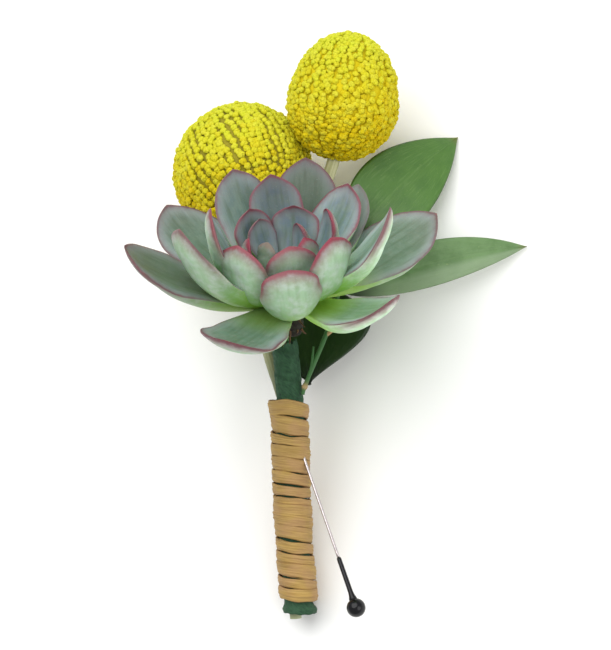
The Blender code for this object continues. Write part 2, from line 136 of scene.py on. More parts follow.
# Tape: its two ends, how far it leans sideways at each, the height of its middle, its outside as (place
# along, radius), the length of a lap, the step at a lap, and its wall.
TAPE_TOP, TAPE_END = 13.7, -51.0
STEM_LEAN_TOP, STEM_LEAN_END = -1.2, 2.4
TAPE_HEIGHT = 0.5
TAPE_OUTSIDE = (
    (-51.0, 3.9), (-49.9, 4.15), (-48.6, 3.4), (-30.0, 3.4), (-8.0, 3.35), (0.5, 3.2), (13.7, 3.1),
)
TAPE_PITCH = 6.5
TAPE_LAP = 0.22
TAPE_WALL = 0.4
TAPE_STATIONS, TAPE_AROUND = 150, 96
WRAP_HEIGHT = -0.85
WRAP_HALF_WIDTH, WRAP_HALF_DEPTH = 4.75, 6.25
WRAP_FLARE_START, WRAP_FLARE, WRAP_SHIFT = -7.0, 0.075, -0.35
# Raffia turns from the top: the middle of each on the front of the stem, and its width.
RAFFIA_TURNS = (
    (-1.9, 3.5), (-6.2, 3.9), (-9.8, 2.1), (-12.4, 3.3), (-15.5, 3.0), (-18.6, 3.2),
    (-21.8, 2.5), (-24.2, 1.8), (-26.2, 2.7), (-28.7, 2.6), (-31.6, 3.3), (-35.3, 2.9),
    (-37.9, 2.5), (-40.7, 3.4), (-43.9, 2.0), (-46.5, 3.2),
)
RAFFIA_STATIONS_TO_A_TURN = 56
RAFFIA_ACROSS = 19
RAFFIA_THICKNESS = 0.42
RAFFIA_INSET = 0.18
RAFFIA_MEAN_RADIUS = 5.5
RAFFIA_HAIRS = 34
HAIR_RADIUS = 0.055

# Ruscus leaves: base, middle and tip of the midrib, full width, turn about the midrib in degrees, how near
# the base the leaf is widest (1 is halfway), how pointed it is, then how much painted shade darkens it and
# how pale it is. The lower one is a broad dark leaf that backs the rosette: its near-black colour is painted
# shade, and it fills the shadowed gaps behind the rosette.
RUSCUS = {
    "upper": (((14.6, 38.0, -8.0), (27.0, 52.5, -12.5), (41.6, 65.0, -21.2)), 19.6, -4, 0.8, 0.8, 0.0, 0.0),
    "long": (((12.9, 26.2, -5.8), (36.0, 33.5, -4.5), (57.8, 37.4, -9.8)), 11.0, 6, 0.8, 0.8, 0.0, 1.0),
    "lower": (((4.6, 3.6, -3.6), (4.2, 18.0, -10.2), (3.5, 31.5, -15.0)), 31.0, 0, 1.0, 1.3, 0.9, 0.0),
}
RUSCUS_THICKNESS = 0.45
RUSCUS_STATIONS, RUSCUS_ACROSS = 56, 29
TWIG = (
    ((3.0, 1.3, 3.0), 0.45), ((3.9, 4.2, 2.8), 0.5), ((8.2, 14.6, -0.6), 0.6), ((10.4, 20.5, -3.6), 0.6),
    ((12.6, 30.0, -6.6), 0.5), ((14.3, 37.4, -7.8), 0.4),
)
# Swollen joints of the twig as (share of its length, swelling), and its side shoots.
TWIG_JOINTS = ((0.16, 0.5), (0.52, 0.45), (0.80, 0.3))
TWIG_SIDES = 16
TWIG_SHOOTS = (
    (((4.4, 5.4, 2.6), 0.42), ((5.2, 8.6, 1.7), 0.36), ((5.6, 12.8, 0.8), 0.28)),
    (((8.6, 15.4, -0.9), 0.42), ((9.9, 16.6, -1.2), 0.5), ((11.4, 17.6, -2.4), 0.34)),
)
WIRE = (
    (-1.3, 17.0, 11.8), (-1.5, 16.4, 8.0), (-1.0, 15.2, 3.4), (-0.2, 12.5, 1.6),
    (0.7, 9.0, 0.1), (0.9, 3.0, -0.9), (0.7, -12.0, -1.5), (1.6, -32.0, -1.5),
)
WIRE_RADIUS = 0.5
PIN_HEAD = Vector((15.6, -49.0, 10.4))
PIN_POINT = Vector((0.9, -6.9, 1.9))
PIN_RADIUS = 0.35
PIN_HEAD_RADIUS = 2.25
PIN_NECK = ((2.05, 1.0), (2.4, 0.95), (3.0, 0.74), (4.0, 0.6), (12.2, 0.55), (12.6, 0.45))
PIN_TAPER = 4.0

# Camera: how high above the layout it stands, where it aims, and the width it takes in at that distance.
CAMERA_HEIGHT = 700.0
CAMERA_AIM = (3.72, 18.0, 0.0)
CAMERA_TAKES_IN = 146.64
SENSOR_WIDTH = 36.0
# Lamps: name, direction towards it, distance and disk size in metres, and power in watts.
LAMPS = (
    ("key", (-0.36, 0.52, 0.77), 0.9, 1.2, 8.6),
    ("fill", (0.6, -0.1, 0.79), 1.0, 0.8, 3.0),
)
LAMPS_AIM = (2.0, 15.0, 0.0)
SKY_STRENGTH = 0.54
TABLE_REACH = 1.6
TABLE_DROP = 0.0002

left_low, left_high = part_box("craspedia_head_left")
ORIGIN = np.array((left_low + left_high) / 2) - TURN @ np.array(HEADS["left"][0]) * MM


def lay(points):
    """Points in millimetres along the stem's own axes, as they lie on the table in metres."""
    return np.asarray(points, float) @ TURN.T * MM + ORIGIN


def unit(vectors):
    return vectors / np.linalg.norm(vectors, axis=1)[:, None]


def ripple(points, scale, seed=0.0):
    """Smooth noise between -1 and 1 at each point."""
    shift = Vector((seed, seed * 0.7, -seed))
    return np.array([noise.noise(Vector(point) * scale + shift) for point in np.asarray(points, float)])


def tint(red, green, blue):
    """A colour given as it looks on a screen, 0 to 255, as the shader's own linear numbers."""
    linear = [((c / 255 + 0.055) / 1.055) ** 2.4 if c > 10 else c / 255 / 12.92 for c in (red, green, blue)]
    return (*linear, 1.0)


class Shade:
    """A value that changes over a surface. Arithmetic on shades adds the nodes that work it out."""

    def __init__(self, paint, socket):
        self.paint = paint
        self.socket = socket

    def math(self, operation, *values):
        return self.paint.node("ShaderNodeMath", {"operation": operation}, values)

    def __add__(self, other):
        return self.math("ADD", self, other)

    def __sub__(self, other):
        return self.math("SUBTRACT", self, other)

    def __rsub__(self, other):
        return self.math("SUBTRACT", other, self)

    def __mul__(self, other):
        return self.math("MULTIPLY", self, other)

    __radd__ = __add__
    __rmul__ = __mul__


class Paint:
    """A material being made: its nodes, and the shader that they feed."""

    def __init__(self, name, plain):
        self.made = bpy.data.materials.new(name)
        self.made.use_nodes = True
        self.tree = self.made.node_tree
        self.shader = self.tree.nodes["Principled BSDF"]
        for socket, value in plain.items():
            self.shader.inputs[socket].default_value = value

    def feed(self, socket, value):
        if isinstance(value, Shade):
            self.tree.links.new(value.socket, socket)
        else:
            socket.default_value = value

    def node(self, kind, settings=None, values=(), output=0):
        made = self.tree.nodes.new(kind)
        for setting, value in (settings or {}).items():
            setattr(made, setting, value)
        for socket, value in values.items() if isinstance(values, dict) else enumerate(values):
            self.feed(made.inputs[socket], value)
        return Shade(self, made.outputs[output])

    def field(self, name):
        return self.node("ShaderNodeAttribute", {"attribute_name": name}, output="Fac")

    def place(self, name, stretch=(1.0, 1.0, 1.0)):
        where = self.node("ShaderNodeAttribute", {"attribute_name": name}, output="Vector")
        return self.node("ShaderNodeVectorMath", {"operation": "MULTIPLY"}, (where, stretch))

    def grain(self, where, scale, detail=3.0, rough=0.5):
        values = {"Vector": where, "Scale": scale, "Detail": detail, "Roughness": rough}
        return self.node("ShaderNodeTexNoise", None, values)

    def ease(self, value, low, high):
        """From 0 at low to 1 at high, smoothly, and level outside them."""
        settings = {"interpolation_type": "SMOOTHSTEP"}
        return self.node("ShaderNodeMapRange", settings, {"Value": value, "From Min": low, "From Max": high})

    def blend(self, share, first, second, how="MIX"):
        settings = {"data_type": "RGBA", "blend_type": how}
        return self.node("ShaderNodeMix", settings, {0: share, 6: first, 7: second}, output=2)

    def finish(self, colour, roughness=None, height=None, depth=0.1):
        """Joins the finished colour, roughness and surface height to the shader. Depth is in millimetres."""
        self.feed(self.shader.inputs["Base Color"], colour)
        if roughness is not None:
            self.feed(self.shader.inputs["Roughness"], roughness)
        if height is not None:
            values = {"Strength": 1.0, "Distance": depth * MM, "Height": height}
            self.feed(self.shader.inputs["Normal"], self.node("ShaderNodeBump", None, values))
        return self.made


def paint_succulent():
    plain = {"Specular IOR Level": 0.4, "Subsurface Weight": 0.08, "Subsurface Scale": 0.002}
    paint = Paint("succulent_skin", plain)
    margin = paint.field("margin")
    along = paint.field("along")
    age = paint.field("age")
    red_amount = paint.field("redness")
    under = paint.ease(paint.field("under"), 0.3, 0.7)
    cloud = paint.grain(paint.place("spot"), 0.45, 4.0, 0.6)
    speck = paint.grain(paint.place("spot"), 2.4, 3.0)
    streak = paint.grain(paint.place("blade", (0.10, 0.9, 1.0)), 1.0, 3.0)

    face = paint.blend(age, tint(112, 134, 152), tint(114, 144, 104))
    face = paint.blend(paint.ease(cloud, 0.36, 0.7) * 0.6, face, tint(144, 164, 150))
    face = paint.blend(paint.ease(streak, 0.38, 0.74) * 0.6, face, tint(84, 110, 80))
    face = paint.blend(paint.ease(margin + cloud, 4.2, 1.2) * 0.65, face, tint(160, 174, 174))
    face = paint.blend(paint.ease(margin + cloud * 2.5, 3.6, 7.2) * 0.3, face, tint(76, 106, 76))
    face = paint.blend(age * paint.ease(along, 0.56, 0.2), face, tint(146, 186, 44))
    face = paint.blend(paint.ease(along, 0.66, 1.0) * red_amount * 0.3, face, tint(134, 112, 120))

    back = paint.blend(paint.ease(along, 0.2, 0.8), tint(120, 180, 88), tint(168, 202, 164))
    back = paint.blend(paint.ease(streak, 0.45, 0.75) * 0.4, back, tint(134, 168, 124))
    back = paint.blend(paint.ease(cloud, 0.38, 0.7) * 0.55, back, tint(204, 216, 210))
    back = paint.blend(paint.ease(along, 0.66, 0.2) * 0.9, back, tint(140, 186, 52))
    flush = paint.ease(margin + cloud * 2.0, 4.6, 1.2) * paint.ease(along, 0.45, 0.9) * red_amount
    back = paint.blend(flush * 0.6, back, tint(150, 108, 124))

    skin = paint.blend(under, face, back)
    skin = paint.node("ShaderNodeVectorMath", {"operation": "SCALE"}, {0: skin, 3: paint.field("pale")})
    waver = (cloud - 0.5) * 1.6
    soft = paint.ease(margin + waver, 2.0, 0.2) * 0.5
    reach = paint.ease(margin + waver * 0.5, 0.8, 0.15)
    on_face = paint.ease(along, 0.3, 0.72)
    up_the_leaf = on_face + (paint.ease(along, 0.6, 0.92) - on_face) * under
    skin = paint.blend(soft * up_the_leaf * red_amount, skin, tint(112, 74, 88))
    # Painted shade: the inner leaves darken towards their bases, deep in the rosette.
    skin = paint.blend((1.0 - age) * paint.ease(along, 0.45, 0.05) * 0.6, skin, tint(58, 78, 58))
    rim = paint.blend(under, tint(124, 40, 60), tint(138, 24, 56))
    rim = paint.blend(paint.ease(age, 0.1, 0.6) * 0.85, rim, tint(98, 56, 62))
    skin = paint.blend(reach * (up_the_leaf * 0.78 + 0.08) * red_amount, skin, rim)
    skin = paint.blend(paint.ease(speck, 0.64, 0.76) * 0.12, skin, tint(206, 216, 206))
    roughness = speck * 0.2 + cloud * 0.25 + 0.27
    return paint.finish(skin, roughness, speck * 0.4 + streak, 0.12)


def paint_core():
    paint = Paint("succulent_stub_painted_shade", {"Specular IOR Level": 0.3})
    scar = paint.grain(paint.place("spot"), 1.1, 5.0, 0.65)
    # Painted shade: the stub is coloured nearly black, for the shadowed hollow that it fills.
    colour = paint.blend(paint.ease(scar, 0.4, 0.62), tint(34, 36, 16), tint(26, 16, 10))
    return paint.finish(colour, scar * 0.3 + 0.5, scar, 0.4)


def paint_husk():
    paint = Paint("dried_husk", {"Specular IOR Level": 0.3})
    vein = paint.grain(paint.place("blade", (0.3, 3.0, 1.0)), 1.0, 3.0)
    colour = paint.blend(paint.ease(vein, 0.35, 0.7), tint(44, 28, 18), tint(150, 110, 78))
    return paint.finish(colour, vein * 0.2 + 0.6, vein, 0.15)


def paint_craspedia():
    paint = Paint("craspedia_florets", {"Specular IOR Level": 0.1})
    rise = paint.field("rise")
    tone = paint.field("tone")
    ripe = paint.field("ripe")
    dust = paint.grain(paint.place("spot"), 3.5, 2.0)
    colour = paint.blend(ripe, tint(200, 208, 46), tint(214, 188, 0))
    colour = paint.blend(paint.ease(tone, 0.55, 1.0) * 0.5, colour, tint(212, 208, 64))
    colour = paint.blend(paint.ease(tone, 0.4, 0.0) * ripe * 0.7, colour, tint(204, 172, 0))
    colour = paint.blend(paint.ease(dust, 0.45, 0.7) * 0.3, colour, tint(182, 160, 8))
    # Painted highlight: the tips of the closed florets are lightened.
    colour = paint.blend(paint.ease(rise, 0.9, 1.0) * 0.2, colour, tint(230, 226, 80))
    # Painted shade: the florets darken towards their roots, deep in the gaps between them and in the cups of
    # open ones; dark olive where full is 0, near floret yellow where it is 1.
    full = paint.field("full")
    root = paint.blend(full, tint(112, 110, 30), tint(196, 176, 2))
    colour = paint.blend(paint.ease(rise, 0.75, 0.1), colour, root)
    return paint.finish(colour, dust * 0.2 + 0.6, dust, 0.15)


def paint_craspedia_body():
    paint = Paint("craspedia_receptacle", {"Specular IOR Level": 0.2})
    mottle = paint.grain(paint.place("spot"), 0.9, 3.0)
    # Painted shade: the receptacle shows only through the gaps between florets, so it is dark olive there,
    # lifted towards yellow where the full field is high.
    colour = paint.blend(mottle, tint(92, 94, 34), tint(156, 144, 46))
    colour = paint.blend(paint.field("full") * 0.9, colour, tint(216, 196, 14))
    return paint.finish(colour, mottle * 0.2 + 0.7, mottle, 0.3)


def paint_head_stem():
    paint = Paint("craspedia_stem_skin", {"Specular IOR Level": 0.35, "Sheen Weight": 0.15})
    rib = paint.grain(paint.place("blade", (0.06, 3.0, 1.0)), 1.0, 3.0)
    down = paint.grain(paint.place("spot"), 2.6, 4.0, 0.6)
    cut_end = paint.field("cut_end")
    colour = paint.blend(paint.ease(rib, 0.3, 0.7), tint(172, 172, 122), tint(204, 202, 160))
    colour = paint.blend(paint.ease(down, 0.5, 0.75) * 0.4, colour, tint(150, 156, 104))
    colour = paint.blend(paint.field("low") * 0.85, colour, tint(104, 112, 84))
    colour = paint.blend(cut_end, colour, tint(196, 204, 158))
    return paint.finish(colour, down * 0.25 + 0.5, rib + down * 0.4, 0.16)


def paint_ruscus():
    paint = Paint("ruscus_blade", {"Specular IOR Level": 0.45})
    across = paint.field("across")
    along = paint.field("along")
    painted_shade = paint.field("age")
    under = paint.ease(paint.field("under"), 0.3, 0.7)
    cloud = paint.grain(paint.place("spot"), 0.22, 4.0, 0.6)
    fleck = paint.grain(paint.place("spot"), 1.9, 3.0)
    thread = paint.grain(paint.place("veins", (0.25, 26.0, 1.0)), 1.0, 2.0)
    vein = paint.ease(thread, 0.52, 0.68)
    midrib = paint.ease(paint.node("ShaderNodeMath", {"operation": "ABSOLUTE"}, (across,)), 0.05, 0.0)
    pale = paint.field("pale")
    face = paint.blend(pale, tint(76, 116, 48), tint(104, 138, 86))
    face = paint.blend(paint.ease(cloud, 0.4, 0.7) * 0.45, face, tint(60, 100, 40))
    face = paint.blend(pale * paint.ease(across, -0.1, -0.5) * 0.55, face, tint(146, 166, 134))
    face = paint.blend(vein * 0.3, face, tint(108, 144, 80))
    face = paint.blend(midrib * 0.15, face, tint(120, 152, 92))
    face = paint.blend(paint.ease(along, 0.93, 1.0) * 0.5, face, tint(136, 128, 70))
    face = paint.blend(paint.ease(fleck, 0.70, 0.76) * 0.4, face, tint(166, 184, 116))
    # Painted shade: the lower blade's colour is darkened nearly to black, above and below.
    face = paint.blend(painted_shade, face, tint(8, 34, 8))
    back = paint.blend(vein * 0.4, tint(112, 146, 90), tint(146, 172, 120))
    back = paint.blend(painted_shade, back, tint(20, 52, 20))
    colour = paint.blend(under, face, back)
    # Painted shade: each blade darkens towards its base, for the shadowed gap where it meets the rosette.
    colour = paint.blend(paint.ease(along, 0.24, 0.04) * 0.85, colour, tint(12, 28, 12))
    return paint.finish(colour, fleck * 0.15 + 0.3, thread + cloud * 0.5, 0.10)


def paint_twig():
    paint = Paint("ruscus_twig_skin", {"Specular IOR Level": 0.35})
    rib = paint.grain(paint.place("blade", (0.15, 5.0, 1.0)), 1.0, 3.0)
    knot = paint.field("knot")
    colour = paint.blend(rib, tint(46, 90, 46), tint(78, 122, 72))
    colour = paint.blend(knot, colour, tint(176, 146, 104))
    return paint.finish(colour, rib * 0.2 + 0.42, rib, 0.10)


def paint_tape():
    paint = Paint("floral_tape_crepe", {"Specular IOR Level": 0.3})
    crepe = paint.grain(paint.place("blade", (1.1, 7.0, 1.0)), 1.0, 4.0, 0.6)
    patch = paint.grain(paint.place("spot"), 0.55, 3.0)
    lap = paint.field("lap")
    inside = paint.field("inside")
    colour = paint.blend(paint.ease(crepe, 0.32, 0.68), tint(24, 56, 38), tint(56, 96, 66))
    colour = paint.blend(paint.ease(patch, 0.45, 0.75) * 0.45, colour, tint(66, 104, 76))
    # Painted shade: darker along the step at each lap, and over the tape's inner wall.
    colour = paint.blend(lap * 0.35, colour, tint(28, 50, 34))
    colour = paint.blend(inside, colour, tint(24, 44, 30))
    return paint.finish(colour, crepe * 0.25 + 0.5, crepe, 0.22)


def paint_raffia():
    paint = Paint("raffia_straw", {"Specular IOR Level": 0.3})
    fibre = paint.grain(paint.place("fibre", (0.14, 4.2, 1.0)), 1.0, 4.0, 0.6)
    band = paint.grain(paint.place("fibre", (0.03, 0.8, 1.0)), 1.0, 2.0)
    edge = paint.field("edge")
    colour = paint.blend(paint.ease(fibre, 0.3, 0.7), tint(142, 112, 60), tint(184, 152, 88))
    colour = paint.blend(paint.ease(band, 0.42, 0.68) * 0.5, colour, tint(170, 136, 84))
    colour = paint.blend(paint.ease(band, 0.5, 0.3) * 0.4, colour, tint(190, 154, 82))
    blush = paint.grain(paint.place("spot"), 0.16, 2.0)
    colour = paint.blend(paint.ease(blush, 0.45, 0.65) * 0.4, colour, tint(172, 132, 98))
    # Painted shade along the strand's edges, in the seams between its turns.
    colour = paint.blend(paint.ease(edge, 0.84, 1.0) * 0.5, colour, tint(112, 74, 44))
    return paint.finish(colour, fibre * 0.25 + 0.5, fibre, 0.11)


def paint_wire():
    paint = Paint("green_wire_enamel", {"Specular IOR Level": 0.5})
    wear = paint.grain(paint.place("spot"), 1.8, 4.0, 0.6)
    colour = paint.blend(paint.ease(wear, 0.6, 0.75), tint(62, 104, 52), tint(126, 150, 96))
    return paint.finish(colour, wear * 0.3 + 0.3, wear, 0.06)


def paint_steel():
    paint = Paint("pin_steel", {"Metallic": 1.0})
    draw = paint.grain(paint.place("blade", (0.5, 12.0, 1.0)), 1.0, 3.0)
    colour = paint.blend(draw, tint(176, 168, 168), tint(222, 214, 214))
    return paint.finish(colour, draw * 0.15 + 0.14, draw, 0.02)


def paint_bead():
    plain = {"Specular IOR Level": 0.3, "Coat Weight": 0.05, "Coat Roughness": 0.05}
    paint = Paint("pin_black_enamel", plain)
    haze = paint.grain(paint.place("spot"), 1.4, 3.0)
    colour = paint.blend(haze, tint(6, 6, 9), tint(16, 16, 20))
    return paint.finish(colour, haze * 0.2 + 0.08, haze, 0.02)


def paint_floor():
    paint = Paint("pale_table", {"Specular IOR Level": 0.1})
    where = paint.node("ShaderNodeTexCoord", None, (), "Object")
    mottle = paint.grain(where, 30.0, 3.0)
    colour = paint.blend(mottle, tint(250, 250, 249), tint(254, 254, 253))
    return paint.finish(colour, mottle * 0.1 + 0.8)


def ring_faces(rings, around):
    """Quads between closed rings of points that are laid out one after another."""
    quads = []
    for ring in range(rings - 1):
        start = ring * around
        for i in range(around):
            j = (i + 1) % around
            quads.append((start + i, start + j, start + around + j, start + around + i))
    return quads


def tube_faces(rings, around):
    """The quads between closed rings, and a face over each end."""
    last = (rings - 1) * around
    ends = [tuple(range(around)), tuple(last + i for i in range(around))]
    return ring_faces(rings, around) + ends


def make_piece(name, points, faces, look, stands_for, fields):
    """A piece of the boutonniere, riding on it and standing for the named solids."""
    mesh = bpy.data.meshes.new(name)
    mesh.from_pydata(lay(points).tolist(), [], [tuple(map(int, face)) for face in faces])
    for field, values in {**fields, "spot": points}.items():
        values = np.asarray(values, np.float32)
        if values.ndim == 2:
            mesh.attributes.new(field, "FLOAT_VECTOR", "POINT").data.foreach_set("vector", values.ravel())
        else:
            mesh.attributes.new(field, "FLOAT", "POINT").data.foreach_set("value", values)
    body = bmesh.new()
    body.from_mesh(mesh)
    bmesh.ops.recalc_face_normals(body, faces=body.faces)
    body.to_mesh(mesh)
    body.free()
    mesh.polygons.foreach_set("use_smooth", [True] * len(mesh.polygons))
    mesh.materials.append(look)
    made = bpy.data.objects.new(name, mesh)
    bpy.context.scene.collection.objects.link(made)
    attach(made, "root")
    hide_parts(*stands_for)


def leaf_direction(lift, curl, sweep, s):
    angle = np.radians(lift - 0.6 * curl + 1.2 * curl * s)
    across = np.radians(sweep * s)
    return np.stack([np.cos(angle) * np.cos(across), np.cos(angle) * np.sin(across), np.sin(angle)], -1)


def leaf_half_width(s, blunt):
    swell = np.sin(math.pi / 2 * np.minimum(s / LEAF_WIDEST, 1)) ** 1.5
    narrow = LEAF_BASE_WIDTH + (1 - LEAF_BASE_WIDTH) * swell
    past = np.clip((s - LEAF_WIDEST) / (1 - LEAF_WIDEST), 0, 1)
    return np.where(s < LEAF_WIDEST, narrow, np.maximum(0, 1 - past ** blunt) ** 0.72)


def leaf_depth(s):
    swell = 0.62 + 0.38 * np.sin(math.pi * np.minimum(s / 0.75, 1))
    return swell * np.maximum(0, 1 - np.maximum(0, (s - 0.45) / 0.55) ** 2.6) ** 0.66


def away_from_edge(places, outline):
    """How far each flat point is from an outline of straight pieces."""
    start, step = outline[:-1], np.diff(outline, axis=0)
    share = ((places[:, None] - start) * step).sum(-1) / np.maximum((step * step).sum(-1), 1e-9)
    nearest = start + np.clip(share, 0, 1)[..., None] * step
    return np.linalg.norm(places[:, None] - nearest, axis=-1).min(1)


def on_rosette(points, azimuth=0):
    """Points made upright about the rosette's axis, at their place in the tilted rosette."""
    turn = Matrix.Rotation(ROSETTE_LEAN, 4, "Z") @ Matrix.Rotation(ROSETTE_TILT, 4, "X")
    place = Matrix.Translation(ROSETTE_CENTRE) @ turn
    at = np.array(place @ Matrix.Rotation(math.radians(azimuth), 4, "Z"))
    return points @ at[:3, :3].T + at[:3, 3]


def build_leaf(number, row, look):
    """A fleshy leaf: cupped above, full below, its edges a little uneven and its tip drawn to a point."""
    azimuth, lift, curl, length, width, start, roll, sweep, blunt, age, redness, pale = row
    s = 1 - (1 - np.linspace(0, 1, LEAF_STATIONS)) ** 1.35
    fine = np.linspace(0, 1, LEAF_PATH_STEPS + 1)
    steps = leaf_direction(lift, curl, sweep, (fine[1:] + fine[:-1]) / 2) * (length / LEAF_PATH_STEPS)
    path = np.vstack([np.zeros(3), np.cumsum(steps, 0)]) + (LEAF_START, 0.0, start)
    place = np.stack([np.interp(s, fine, path[:, i]) for i in range(3)], -1)
    forward = leaf_direction(lift, curl, sweep, s)
    point = LEAF_POINT * max(0.0, 3.4 - blunt) / 1.1
    place = place + forward * (point * np.clip((s - 0.975) / 0.025, 0, 1) ** 2)[:, None]
    across = np.radians(sweep * s)
    side = np.stack([-np.sin(across), np.cos(across), 0 * s], -1)
    up = np.cross(forward, side)
    angle = np.radians(roll * np.minimum(1, s * 1.5))[:, None]
    side, up = side * np.cos(angle) + up * np.sin(angle), up * np.cos(angle) - side * np.sin(angle)

    u = np.sin(math.pi / 2 * np.linspace(-1, 1, LEAF_ACROSS))
    uneven = 1 + 0.025 * np.sin(s * 9 + number) + 0.018 * np.sin(s * 23 + 2 * number)
    half = width / 2 * leaf_half_width(s, blunt) * uneven
    half[-1] = 0.02
    dip = LEAF_CUP * half
    deep = LEAF_THICKNESS * min(1.0, 0.55 + width / 26) * leaf_depth(s)
    deep[-1] = 0.02
    wave = 0.10 * np.sin(s * 14 + 1.7 * number)[:, None] * u ** 3
    top = place[:, None] + side[:, None] * (half[:, None] * u)[..., None]
    lip = LEAF_LIP * np.minimum(1, deep / 2)[:, None]
    sink = dip[:, None] * (1 - u * u) + lip * np.abs(u) ** 7 + wave * half[:, None] * 0.3
    top = top - up[:, None] * sink[..., None]
    inner = u[::-1][1:-1]
    below = dip[:, None] * (1 - inner ** 2) + lip * np.abs(inner) ** 7
    below = below + deep[:, None] * (1 - np.abs(inner) ** 2.8) ** 0.62
    low = place[:, None] + side[:, None] * (half[:, None] * inner)[..., None] - up[:, None] * below[..., None]
    rings = np.concatenate([top, low], 1)
    columns = rings.shape[1]
    points = rings.reshape(-1, 3)
    points = points + ripple(points, 0.35, number)[:, None] * 0.08

    all_u = np.concatenate([u, inner])
    along = np.repeat(s, columns)
    flat = np.stack([along * length, (half[:, None] * all_u).ravel()], -1)
    edge = np.concatenate([np.stack([s * length, half], -1), np.stack([s * length, -half], -1)[::-1]])
    under = np.concatenate([np.zeros(LEAF_ACROSS), np.ones(len(inner))])
    under[[0, LEAF_ACROSS - 1]] = 0.5
    fields = {
        "margin": away_from_edge(flat, edge),
        "along": along,
        "under": np.tile(under, LEAF_STATIONS),
        "age": np.full(len(points), age),
        "redness": np.full(len(points), redness),
        "pale": np.full(len(points), pale),
        "blade": np.column_stack([flat, np.full(len(points), number * 5.3)]),
    }
    faces = tube_faces(LEAF_STATIONS, columns)
    points = on_rosette(points, azimuth)
    name, solid = f"rosette_leaf_{number:02d}", f"succulent_leaf_{number:02d}"
    make_piece(name, points, faces, look, [solid], fields)


def smooth_path(knots, to_each=8):
    """A smooth run of points and widths through knots of (place, width)."""
    places = np.array([place for place, _ in knots], float)
    widths = np.array([width for _, width in knots], float)
    padded = np.vstack([2 * places[0] - places[1], places, 2 * places[-1] - places[-2]])
    path, spread = [], []
    for i in range(len(places) - 1):
        a, b, c, d = padded[i:i + 4]
        for t in np.linspace(0, 1, to_each, endpoint=i == len(places) - 2):
            curve = 2 * b + (c - a) * t + (2 * a - 5 * b + 4 * c - d) * t * t
            curve = curve + (3 * b - 3 * c + d - a) * t ** 3
            path.append(curve / 2)
            spread.append(widths[i] * (1 - t) + widths[i + 1] * t)
    return np.array(path), np.array(spread)


def rod(path, spread, sides=20, uneven=0.0, seed=0.0):
    """Points, faces and fields of a round rod along a path, with rounded-off ends."""
    ahead = unit(np.gradient(path, axis=0))
    normal = np.cross(ahead[0], (0.31, 0.2, 0.93))
    normals = []
    for direction in ahead:
        normal = normal - direction * (normal @ direction)
        normal = normal / np.linalg.norm(normal)
        normals.append(normal)
    normals = np.array(normals)
    sideways = np.cross(ahead, normals)
    turn = np.linspace(0, 2 * math.pi, sides, endpoint=False)
    out = normals[:, None] * np.cos(turn)[:, None] + sideways[:, None] * np.sin(turn)[:, None]
    radius = np.repeat(spread[:, None], sides, 1)
    if uneven:
        skin = (path[:, None] + out).reshape(-1, 3)
        radius = radius * (1 + uneven * ripple(skin, 0.9, seed).reshape(radius.shape))
    points = (path[:, None] + out * radius[..., None]).reshape(-1, 3)
    travelled = np.concatenate([[0], np.cumsum(np.linalg.norm(np.diff(path, axis=0), axis=1))])
    blade = np.column_stack([
        np.repeat(travelled, sides),
        np.tile(np.cos(turn), len(path)) * 1.5,
        np.tile(np.sin(turn), len(path)) * 1.5,
    ])
    faces = ring_faces(len(path), sides)
    count = len(points)
    first_tip = path[0] - ahead[0] * spread[0] * 0.1
    last_tip = path[-1] + ahead[-1] * spread[-1] * 0.1
    points = np.vstack([points, first_tip, last_tip])
    blade = np.vstack([blade, blade[0], blade[-sides]])
    for i in range(sides):
        faces.append(((i + 1) % sides, i, count))
        faces.append((count - sides + i, count - sides + (i + 1) % sides, count + 1))
    return points, faces, {"blade": blade}


def join_parts(parts):
    """Several sets of points, faces and fields as one."""
    points, faces, fields = [], [], {name: [] for name in parts[0][2]}
    start = 0
    for part_points, part_faces, part_fields in parts:
        points.append(part_points)
        faces.extend(tuple(start + i for i in face) for face in part_faces)
        for name, values in part_fields.items():
            fields[name].append(np.asarray(values, float))
        start += len(part_points)
    return np.vstack(points), faces, {name: np.concatenate(values) for name, values in fields.items()}


def build_core(look):
    """The succulent's short scarred stub under its leaves, its near-black colour painted shade."""
    path, spread = smooth_path([((0.0, 0.0, height), radius) for height, radius in CORE_PROFILE], 6)
    points, faces, fields = rod(path, spread, 28, 0.16, 3.0)
    points = on_rosette(points)
    make_piece("succulent_stub", points, faces, look, ["succulent_core"], fields)


def build_husks(look):
    """Dried leaf remnants, hanging off the side of the stub that faces down the stem."""
    parts = []
    for i in range(HUSKS):
        azimuth = math.radians(220 + 100 * i / (HUSKS - 1) + CHANCE.uniform(-6, 6))
        radius = CHANCE.uniform(2.2, 3.2)
        level = CHANCE.uniform(-9.5, -2.5)
        start = np.array([radius * math.cos(azimuth), radius * math.sin(azimuth), level])
        droop = CHANCE.uniform(-1.3, -0.6)
        out = np.array([0.6 * math.cos(azimuth), 0.6 * math.sin(azimuth), droop])
        reach = CHANCE.uniform(1.2, 3.0)
        bend = np.array([CHANCE.uniform(-0.6, 0.6) for _ in range(3)])
        knots = [
            (start + out * reach * t + bend * t * t * 1.6, HUSK_RADIUS * (1 - 0.7 * t))
            for t in np.linspace(0, 1, 5)
        ]
        path, spread = smooth_path(knots, 5)
        parts.append(rod(path, spread, 8, 0.4, i))
    points, faces, fields = join_parts(parts)
    make_piece("dried_husks", on_rosette(points), faces, look, [], fields)


def head_turn(side):
    lean = HEADS[side][4]
    return np.array(Matrix.Rotation(math.radians(lean), 3, "Z"))


def on_head(side, directions, lift):
    """Points at a distance above a head's surface, and the way out there, for directions from its middle."""
    centre, radius, crown, foot = HEADS[side][:4]
    stretch = np.ones_like(directions)
    stretch[:, 1] = np.where(directions[:, 1] > 0, crown, foot)
    outward = unit(directions / stretch)
    points = directions * stretch * radius + outward * np.asarray(lift).reshape(-1, 1)
    turn = head_turn(side)
    return points @ turn.T + centre, outward @ turn.T


